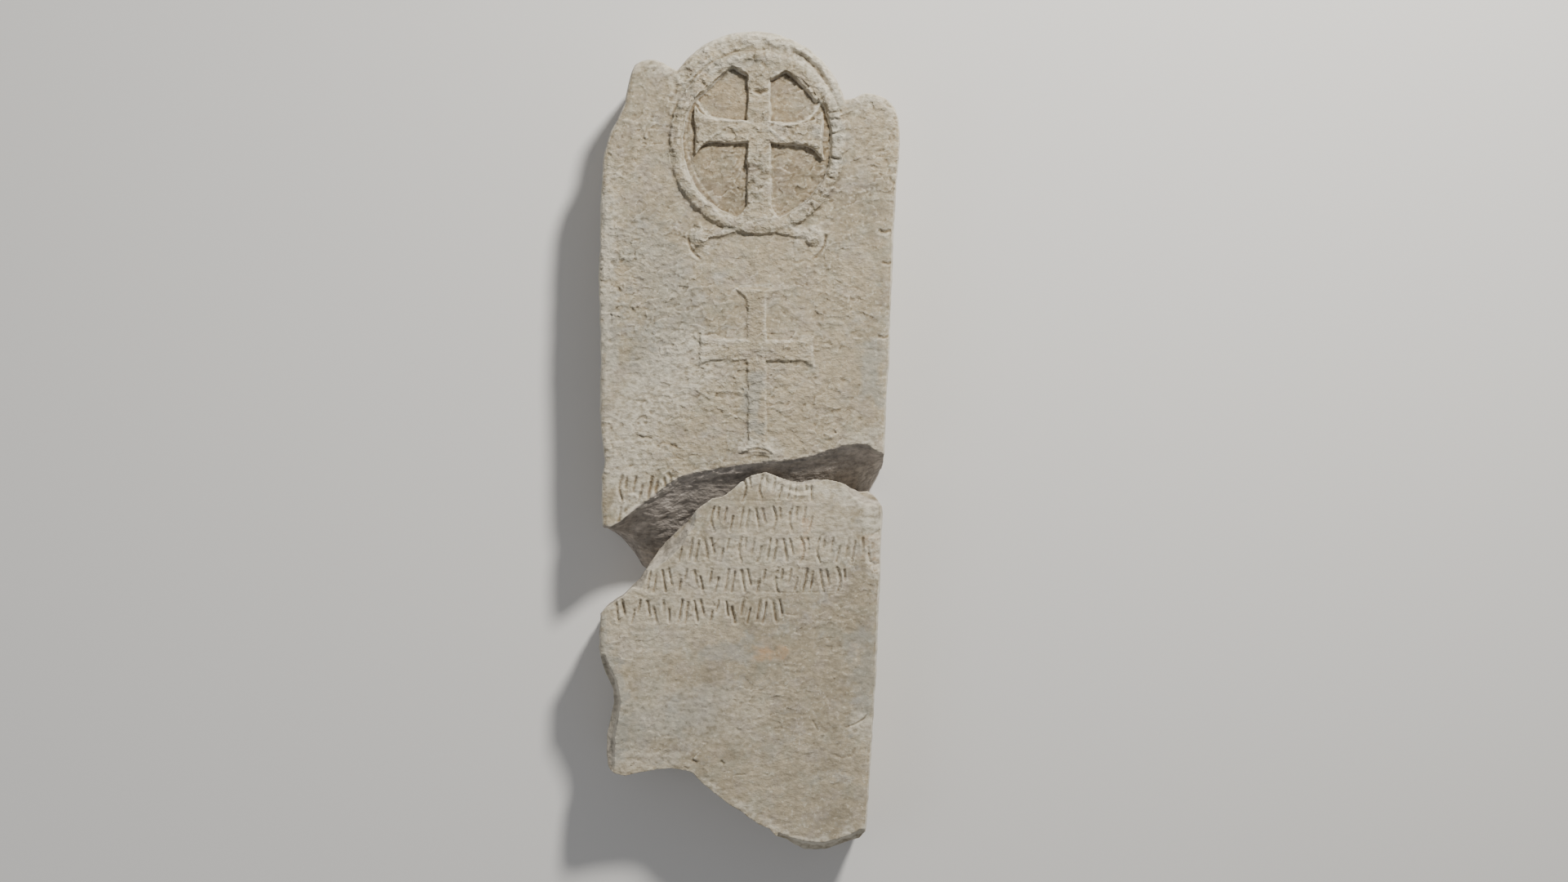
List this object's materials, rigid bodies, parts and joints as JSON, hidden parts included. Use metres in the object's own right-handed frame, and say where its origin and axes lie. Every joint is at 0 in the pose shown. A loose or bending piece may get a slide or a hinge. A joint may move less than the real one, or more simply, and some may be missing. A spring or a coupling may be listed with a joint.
{
  "type": "funerary stele",
  "caption": "Broken stone grave slab in two fragments: arched head, carved wreath with a cross, a tall cross below and worn rows of incised strokes.",
  "frame": {"origin": "middle of the two fragments' footprint, on the plane that their flat backs rest on", "axes": "+X to the right of the carved face as one reads it, +Y from the broken foot to the arched head, +Z out of the carved face"},
  "size_m": [0.4484, 1.2182, 0.137],
  "materials": {
    "head_fragment": "weathered, matt, tan-grey limestone",
    "foot_fragment": "weathered, matt, tan-grey limestone"
  },
  "bodies": {
    "root": {"head_fragment": "head_fragment", "foot_fragment": "foot_fragment"}
  },
  "joints": []
}
